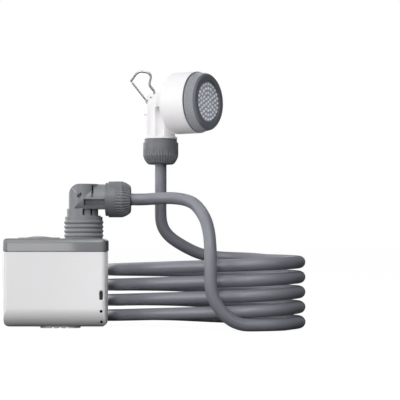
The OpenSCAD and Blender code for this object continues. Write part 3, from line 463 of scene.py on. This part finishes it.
# Extrusion lines along the hose: noise read round the tube and stretched along its length.
hose_streaks, h_in, h_out = value_group(
    "extrusion_lines",
    [("Color", "NodeSocketColor", (0.2, 0.2, 0.2, 1)), ("Amount", "NodeSocketFloat", 0.12)],
    [("Color", "NodeSocketColor")],
)
hn, hl = hose_streaks.nodes, hose_streaks.links
h_uv = hn.new("ShaderNodeUVMap")
h_uv.uv_map = "length"
h_map = hn.new("ShaderNodeMapping")
h_map.inputs["Scale"].default_value = (26.0, 5.0, 1.0)
h_noise = hn.new("ShaderNodeTexNoise")
h_noise.inputs["Scale"].default_value = 1
h_noise.inputs["Detail"].default_value = 5
h_shift = hn.new("ShaderNodeMath")
h_shift.operation = "SUBTRACT"
h_shift.inputs[1].default_value = 0.5
h_tone = hn.new("ShaderNodeMath")
h_tone.operation = "MULTIPLY_ADD"
h_tone.inputs[2].default_value = 1.0
h_colour = hn.new("ShaderNodeVectorMath")
h_colour.operation = "SCALE"
hl.new(h_uv.outputs["UV"], h_map.inputs["Vector"])
hl.new(h_map.outputs["Vector"], h_noise.inputs["Vector"])
hl.new(h_noise.outputs["Fac"], h_shift.inputs[0])
hl.new(h_shift.outputs[0], h_tone.inputs[0])
hl.new(h_in.outputs["Amount"], h_tone.inputs[1])
hl.new(h_in.outputs["Color"], h_colour.inputs[0])
hl.new(h_tone.outputs[0], h_colour.inputs["Scale"])
hl.new(h_colour.outputs[0], h_out.inputs["Color"])
vinyl_lines = vinyl.node_tree.nodes.new("ShaderNodeGroup")
vinyl_lines.node_tree = hose_streaks
vinyl_lines.inputs["Color"].default_value = linear(vinyl_grey)
vinyl_lines.inputs["Amount"].default_value = 0.22
vinyl.node_tree.links.new(vinyl_lines.outputs["Color"], vinyl.node_tree.nodes["finish"].inputs["Color"])
hose_mesh = tube_mesh("hose", hose_line, hose_d / 2, hose_sides)
hose = place("hose", hose_mesh, "root", "hose_vinyl", vinyl)
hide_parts("hose_pump_end", "hose_coil", "hose_head_end")

# Lower housing: white ABS shell, injection moulded, with curved lower edges and a satin outside.
# The cap closes it from above; the foot plate and the port sit in openings in its wall.
white_abs = moulded("white_abs", "E6E4E5", 0.46, drift=0.03, size=1800.0, depth=0.05)
paint(white_abs, "lower_housing")

# Cap: grey ABS lid with a low pad round the button and a socket for the elbow, closed on a thin gasket.
# Its surface is smoother than the housing's and mirrors the strip lamp.
grey_abs = moulded("grey_abs", "6B6C6F", 0.42, drift=0.04, size=1800.0, depth=0.03,
                   coat=0.65, coat_rough=0.06)
paint(grey_abs, "top_cap")
black_rubber = moulded("black_rubber", "232325", 0.6, drift=0.1, size=900.0, depth=0.08)
paint(black_rubber, "cap_seal", "shaft_seal", "outlet_seal", "face_gasket", "vent_plug")

# Power button: soft silicone disc with a crowned top, moulded in one piece with its flange.
# The flange holds it in the cap, and a tact switch on the circuit board lies under it.
button_silicone = moulded("button_silicone", "A2A3A6", 0.5, drift=0.05, size=1200.0, depth=0.06)
paint(button_silicone, "power_button")

# Pump casing and foot plate: nylon mouldings, the casing grey and the plate painted paler, painted light
# that lifts the shade under the housing.
# The plate closes the pump from below with its inlet slots and is held by two small screws.
fitting_nylon = moulded("fitting_nylon", "7A7B7F", 0.5, drift=0.1, size=1100.0, depth=0.12)
paint(fitting_nylon, "pump_volute")
# Painted light: the foot plate is paler to lift the shade it sits in under the housing.
foot_painted_light = moulded("foot_painted_light", "CFCFD1", 0.5, drift=0.06, size=1100.0, depth=0.1)
paint(foot_painted_light, "inlet_strainer")

# Charge port: stamped steel shell in a recess, with a dark lens and a rubber plug below it.
# A black tongue inside the shell carries rows of gold contacts on both faces.
lens_acrylic = moulded("lens_acrylic", "15171A", 0.12, coat=0.5)
paint(lens_acrylic, "indicator_lens")
dark_abs = moulded("dark_abs", "2B2C2F", 0.45)
port_x, port_y, port_z = 46.2, -23.8, 32.8
tongue_half_x, tongue_half_z, tongue_y0, tongue_y1 = 0.42, 3.3, 0.9, 6
contact_count, contact_pitch, contact_x = 12, 0.5, 0.44
contact_half_x, contact_half_z, contact_y0, contact_y1 = 0.03, 0.13, 1.2, 5


def box_mesh(name, boxes):
    """Boxes given as (x0, x1, y0, y1, z0, z1) in millimetres, in one mesh."""
    verts, faces = [], []
    for x0, x1, y0, y1, z0, z1 in boxes:
        n = len(verts)
        verts += [(x * MM, y * MM, z * MM) for z in (z0, z1) for y in (y0, y1) for x in (x0, x1)]
        for face in ((0, 2, 3, 1), (4, 5, 7, 6), (0, 1, 5, 4), (2, 6, 7, 3), (0, 4, 6, 2), (1, 3, 7, 5)):
            faces.append(tuple(n + k for k in face))
    mesh = bpy.data.meshes.new(name)
    mesh.from_pydata(verts, [], faces)
    return mesh


tongue_box = (port_x - tongue_half_x, port_x + tongue_half_x, port_y + tongue_y0, port_y + tongue_y1,
              port_z - tongue_half_z, port_z + tongue_half_z)
place("port_tongue", box_mesh("port_tongue", [tongue_box]), "root", "dark_plastic", dark_abs)
contacts = []
for k in range(contact_count):
    z = port_z + (k - (contact_count - 1) / 2) * contact_pitch
    for s in (-1, 1):
        x = port_x + s * contact_x
        contacts.append((x - contact_half_x, x + contact_half_x, port_y + contact_y0, port_y + contact_y1,
                         z - contact_half_z, z + contact_half_z))

# Fine lines of drawn or rolled metal: noise stretched along the height, in the gloss and the relief.
lines_group, l_in, l_out = value_group(
    "fine_lines",
    [("Roughness", "NodeSocketFloat", 0.3), ("Spacing", "NodeSocketFloat", 900.0)],
    [("Roughness", "NodeSocketFloat"), ("Normal", "NodeSocketVector")],
)
ln, ll = lines_group.nodes, lines_group.links
l_place = ln.new("ShaderNodeTexCoord")
l_map = ln.new("ShaderNodeMapping")
l_map.inputs["Scale"].default_value = (1.0, 1.0, 0.05)
l_noise = ln.new("ShaderNodeTexNoise")
l_noise.inputs["Detail"].default_value = 3
l_rough = ln.new("ShaderNodeMath")
l_rough.operation = "MULTIPLY_ADD"
l_rough.inputs[1].default_value = 0.15
l_bump = ln.new("ShaderNodeBump")
l_bump.inputs["Distance"].default_value = 0.0001
l_bump.inputs["Strength"].default_value = 0.06
ll.new(l_place.outputs["Object"], l_map.inputs["Vector"])
ll.new(l_map.outputs["Vector"], l_noise.inputs["Vector"])
ll.new(l_in.outputs["Spacing"], l_noise.inputs["Scale"])
ll.new(l_noise.outputs["Fac"], l_rough.inputs[0])
ll.new(l_in.outputs["Roughness"], l_rough.inputs[2])
ll.new(l_noise.outputs["Fac"], l_bump.inputs["Height"])
ll.new(l_rough.outputs[0], l_out.inputs["Roughness"])
ll.new(l_bump.outputs[0], l_out.inputs["Normal"])


def drawn_metal(name, hex_colour, rough, spacing=900.0):
    """Material of a piece of drawn, rolled or stamped metal."""
    material = blank_material(name)
    nodes, links = material.node_tree.nodes, material.node_tree.links
    out = nodes.new("ShaderNodeOutputMaterial")
    shader = nodes.new("ShaderNodeBsdfPrincipled")
    shader.inputs["Base Color"].default_value = linear(hex_colour)
    shader.inputs["Metallic"].default_value = 1.0
    lines = nodes.new("ShaderNodeGroup")
    lines.node_tree = lines_group
    lines.inputs["Roughness"].default_value = rough
    lines.inputs["Spacing"].default_value = spacing
    links.new(lines.outputs["Roughness"], shader.inputs["Roughness"])
    links.new(lines.outputs["Normal"], shader.inputs["Normal"])
    links.new(shader.outputs[0], out.inputs["Surface"])
    return material


paint(drawn_metal("port_steel", "6E7074", 0.3), "charge_port")
contact_gold = drawn_metal("contact_gold", "C9A24A", 0.25)
place("port_contacts", box_mesh("port_contacts", contacts), "root", "port_steel", contact_gold)

# Works inside: a motor in a plated steel can turns a white wheel in the pump casing.
# A dark cradle holds two wrapped cells, and small screws hold the circuit board.
# A white riser leads the water up, and a white split cone grips the hose in each nut.
screw_steel = drawn_metal("screw_steel", "C4C5C8", 0.25)
paint(screw_steel, "board_screws", "strainer_screws", "motor_shaft")
paint(drawn_metal("motor_can", "B4B6BA", 0.28, 500.0), "pump_motor")
paint(moulded("cell_wrap", "3E6DB5", 0.3, coat=0.2), "battery_cells")
paint(moulded("board_laminate", "1E6B44", 0.35), "circuit_board")
paint(dark_abs, "tact_switch", "battery_cradle")
paint(white_abs, "impeller", "outlet_riser", "elbow_grip_ring", "head_grip_ring")

# Elbow: glass-filled nylon fitting with a threaded collar, moulded with cored pockets.
# A thin witness rib runs down the mitre on both faces, where the mould's cores met; it is painted paler
# than the elbow, a painted highlight along the ridge.
elbow_nylon = moulded("elbow_nylon", "7A7B7F", 0.46, drift=0.12, size=900.0, depth=0.12,
                      coat=0.1, coat_rough=0.3)
paint(elbow_nylon, "elbow_fitting")
# Painted highlight: the rib's grey is paler than the elbow's.
mitre_highlight_nylon = moulded("mitre_highlight_nylon", "A9AAAE", 0.4, drift=0.12, size=900.0, depth=0.12)
outlet_x, arm_z, arm_r = 27, 128, 15.1
witness_from, witness_reach, witness_steps = 5.6, 5.6, 8
witness_r, witness_sides = 0.5, 10
for s, label in ((-1, "front"), (1, "back")):
    witness_line = []
    for k in range(witness_steps + 1):
        u = witness_from + witness_reach * k / witness_steps
        witness_line.append(Vector((outlet_x - u, s * math.sqrt(arm_r ** 2 - u ** 2), arm_z + u)) * MM)
    rib = tube_mesh("mitre_rib", witness_line, witness_r * MM, witness_sides)
    place("mitre_rib_" + label, rib, "root", "fitting_plastic", mitre_highlight_nylon)

# Hose nuts: the same nylon a shade darker, with a fluted taper for the fingers.
# Each screws on to its spigot and closes a split cone on the hose. Its ribs are painted paler than the
# nut, a painted highlight on the ribs against the shade between them.
nut_nylon = moulded("nut_nylon", "68696D", 0.47, drift=0.12, size=900.0, depth=0.14,
                    coat=0.1, coat_rough=0.35)
paint(nut_nylon, "elbow_nut", "head_nut")
nut_r, nut_tip_r, nut_straight, nut_len = 18, 12.7, 15.5, 25
rib_count, rib_w, rib_h, rib_root = 36, 1.4, 0.95, 0.4
taper_top, taper_end = nut_straight + 1, nut_len - 1.4
taper_mid = (taper_top + taper_end) / 2
# Each place down a rib: distance from the nut's face, the nut's radius there and the rib's height.
rib_places = [
    (nut_straight - 1, nut_r, -0.05),
    (taper_top, nut_r - 0.3, 0.3),
    (taper_mid, (nut_r + nut_tip_r + 0.9) / 2, rib_h),
    (taper_end, nut_tip_r + 1.2, 0.6),
    (nut_len - 0.3, nut_tip_r + 0.25, 0.1),
]
up, right = Vector((0, 0, 1)), Vector((1, 0, 0))
elbow_seat = Vector((49, 0, 128))
head_seat = Vector((103, 30, 190))


def nut_ribs(name, seat, axis, side):
    """Finger ribs down the taper of the nut on a seat; axis is the way to the nut's tip."""
    other = axis.cross(side)
    verts, faces = [], []
    for k in range(rib_count):
        a = 2 * math.pi * (k + 0.5) / rib_count
        out = math.cos(a) * side + math.sin(a) * other
        across = axis.cross(out)
        n = len(verts)
        for z, r, h in rib_places:
            section = ((-rib_w / 2, -rib_root), (-rib_w / 4, h), (rib_w / 4, h), (rib_w / 2, -rib_root))
            for w, rise in section:
                verts.append((seat + z * axis + (r + rise) * out + w * across) * MM)
        for i in range(len(rib_places) - 1):
            for j in range(4):
                q, m = n + 4 * i, (j + 1) % 4
                faces.append((q + j, q + m, q + 4 + m, q + 4 + j))
        last = n + 4 * (len(rib_places) - 1)
        faces.append((n + 3, n + 2, n + 1, n))
        faces.append((last, last + 1, last + 2, last + 3))
    mesh = bpy.data.meshes.new(name)
    mesh.from_pydata(verts, [], faces)
    return mesh


# Painted highlight: the ribs are paler than the nut so the gaps between them read as shade.
rib_highlight_nylon = moulded("rib_highlight_nylon", "7F8085", 0.4, drift=0.12, size=900.0, depth=0.14)
elbow_ribs = nut_ribs("elbow_nut_ribs", elbow_seat, right, -up)
place("elbow_nut_ribs", elbow_ribs, "elbow_nut_body", "nut_plastic", rib_highlight_nylon)
head_ribs = nut_ribs("head_nut_ribs", head_seat, -up, right)
place("head_nut_ribs", head_ribs, "head_nut_body", "nut_plastic", rib_highlight_nylon)

# Shower head: white ABS stem and bell in one hollow moulding, with the housing's satin outside.
# Its nut holds it on the hose, and the hook's pin sits in the stem.
paint(white_abs, "head_body")

# Spray face: grey ABS plate with sixty-one soft silicone tips, moulded into its holes in rings.
# It lies on a gasket in the mouth of the bell, and the spray ring holds it there.
plate_abs = moulded("plate_abs", "A0A5AE", 0.45)
paint(plate_abs, "nozzle_plate")
tip_silicone = moulded("tip_silicone", "D6D9DF", 0.5, drift=0.08, size=1200.0)
bell_turn = math.radians(32)
bell_at = Vector((103, 30, 226))
bell_x = Vector((0, 0, -1))
bell_y = Vector((math.sin(bell_turn), math.cos(bell_turn), 0))
bell_axis = Vector((math.cos(bell_turn), -math.sin(bell_turn), 0))
face_r, face_z = 20.5, 57.0
tip_rings, tip_sides, ring_step = 5, 16, face_r / 4.6
bore_r, tip_foot_r, tip_shoulder_r, tip_top_r = 0.66, 1.45, 1.2, 1.0
tip_foot, tip_shoulder, tip_top = face_z - 0.3, face_z + 0.7, face_z + 0.9


def on_bell(x, y, z):
    """Scene point of a place in the bell's own frame, in millimetres."""
    return (bell_at + x * bell_x + y * bell_y + z * bell_axis) * MM


def turned_mesh(name, profiles, sides):
    """Rings turned round axes parallel to the bell's; each is (x, y, closed profile of (radius, z))."""
    verts, faces = [], []
    for cx, cy, profile in profiles:
        n, m = len(verts), len(profile)
        for i in range(sides):
            a = 2 * math.pi * i / sides
            verts += [on_bell(cx + r * math.cos(a), cy + r * math.sin(a), z) for r, z in profile]
        for i in range(sides):
            j = (i + 1) % sides
            for k in range(m):
                h = (k + 1) % m
                faces.append((n + i * m + k, n + j * m + k, n + j * m + h, n + i * m + h))
    mesh = bpy.data.meshes.new(name)
    mesh.from_pydata(verts, [], faces)
    mesh.polygons.foreach_set("use_smooth", [True] * len(faces))
    mesh.set_sharp_from_angle(angle=math.radians(30))
    return mesh


tip = [(bore_r, tip_foot), (tip_foot_r, tip_foot), (tip_shoulder_r, tip_shoulder), (tip_top_r, tip_top),
       (bore_r, tip_top)]
tips = []
for ring in range(tip_rings):
    for k in range(max(6 * ring, 1)):
        a = math.radians(k * 60 / max(ring, 1))
        tips.append((ring * ring_step * math.cos(a), ring * ring_step * math.sin(a), tip))
tip_mesh = turned_mesh("nozzle_tips", tips, tip_sides)
place("nozzle_tips", tip_mesh, "root", "nozzle_plastic", tip_silicone)

# Spray ring: grey ABS with a knurled band for the fingers, screwed over the mouth of the bell.
# A lip painted dark runs round its front edge and a dark line where it meets the bell, painted shade at
# the front edge and at the seam, and both turn with it.
bezel_grey = "96979C"
bezel_finish = {"drift": 0.1, "size": 1100.0, "depth": 0.1, "coat": 0.2, "coat_rough": 0.3}
bezel_abs = moulded("bezel_abs", bezel_grey, 0.42, **bezel_finish)
paint(bezel_abs, "bezel_ring")
# Painted shade: the lip and the edge line are dark skins laid on the ring.
lip_painted_shade = moulded("lip_painted_shade", "5E6168", 0.42, drift=0.08, size=1100.0, depth=0.1)
bezel_r, bezel_z0, bezel_z1, ring_sides = 28, 46.3, 58.3, 128

# The lip is a thin skin on the ring: its profile goes over the bevel and the front to the plate, and back.
lip = [(bezel_r - 0.1, bezel_z1 - 1.5), (bezel_r + 0.12, bezel_z1 - 1.5), (bezel_r - 1.42, bezel_z1 + 0.1),
       (face_r + 0.7, bezel_z1 + 0.1), (face_r - 0.1, bezel_z1 - 0.7), (face_r - 0.1, bezel_z1 - 2),
       (face_r + 0.1, bezel_z1 - 2), (face_r + 0.9, bezel_z1 - 0.5), (bezel_r - 1.6, bezel_z1 - 0.5)]
lip_mesh = turned_mesh("bezel_lip", [(0, 0, lip)], ring_sides)
place("bezel_lip", lip_mesh, "bezel", "bezel_plastic", lip_painted_shade)
edge_r, edge_root_r, edge_z0, edge_z1 = 30.8, bezel_r - 0.3, bezel_z0 - 0.2, bezel_z0 - 0.2 + 0.7
edge = [(edge_root_r, edge_z0), (edge_r, edge_z0), (edge_r, edge_z1), (edge_root_r, edge_z1)]
edge_mesh = turned_mesh("bezel_edge", [(0, 0, edge)], ring_sides)
place("bezel_edge", edge_mesh, "bezel", "bezel_plastic", lip_painted_shade)

knurl_count, knurl_rows, knurl_h, knurl_root = 60, 4, 0.7, 0.4
knurl_z0, knurl_z1 = bezel_z0 + 0.4, bezel_z1 - 1.5
knurl_r0, knurl_r1 = 29.9, bezel_r
knurl_steps, knurl_steep = 4, 1.3
# Knurl colours are painted light: pale on the peaks, a painted highlight, and dark in the valleys, painted
# shade.
knurl_valley_shade, knurl_peak_highlight = "54565B", "BCBDC2"
around, along = knurl_steps * knurl_count, knurl_steps * knurl_rows


def peak(x):
    """Saw with slopes both ways: one at whole numbers, nought half way between."""
    return abs(2 * (x - math.floor(x)) - 1)


# Rows of the band, from its inner wall over the knurls and back: place along the bell and row of knurls.
knurl_lines = [(knurl_z0, None)]
knurl_lines += [(knurl_z0 + (knurl_z1 - knurl_z0) * j / along, j) for j in range(along + 1)]
knurl_lines += [(knurl_z1, None)]
knurl_verts, knurl_faces, knurl_peaks = [], [], []
for z, j in knurl_lines:
    for i in range(around):
        rise = 0.0
        if j is None:
            r = bezel_r - knurl_root
        else:
            r = knurl_r0 + (knurl_r1 - knurl_r0) * j / along
        if j and j < along:
            slopes = min(peak((i + j) / knurl_steps), peak((i - j) / knurl_steps))
            rise = min(1.0, knurl_steep * slopes)
        r += knurl_h * rise
        knurl_peaks.append(rise)
        a = 2 * math.pi * i / around
        knurl_verts.append(on_bell(r * math.cos(a), r * math.sin(a), z))
for j in range(len(knurl_lines)):
    q, m = j * around, (j + 1) % len(knurl_lines) * around
    for i in range(around):
        n = (i + 1) % around
        knurl_faces.append((q + i, q + n, m + n, m + i))
knurl = bpy.data.meshes.new("bezel_knurl")
knurl.from_pydata(knurl_verts, [], knurl_faces)
knurl.attributes.new("rise", "FLOAT", "POINT").data.foreach_set("value", knurl_peaks)
knurl_abs = moulded("knurl_abs", bezel_grey, 0.42, **bezel_finish)
knurl_rise = knurl_abs.node_tree.nodes.new("ShaderNodeAttribute")
knurl_rise.attribute_name = "rise"
# Painted highlight and painted shade, mixed by each point's rise.
knurl_painted_light = knurl_abs.node_tree.nodes.new("ShaderNodeMix")
knurl_painted_light.data_type = "RGBA"
knurl_colours = [s for s in knurl_painted_light.inputs if s.type == "RGBA"]
knurl_colours[0].default_value = linear(knurl_valley_shade)
knurl_colours[1].default_value = linear(knurl_peak_highlight)
knurl_abs.node_tree.links.new(knurl_rise.outputs["Fac"], knurl_painted_light.inputs[0])
knurl_abs.node_tree.links.new(knurl_painted_light.outputs[2], knurl_abs.node_tree.nodes["finish"].inputs["Color"])
place("bezel_knurl", knurl, "bezel", "bezel_plastic", knurl_abs)

# Snap hook: bent stainless wire, polished, that swings on a steel pin in the stem.
# Its gate is a thinner wire, riveted to the frame, that springs shut.
hook_steel = drawn_metal("hook_steel", "A6A8AC", 0.2, 1500.0)
paint(hook_steel, "hook_pin", "hook_frame", "hook_gate", "gate_rivet")
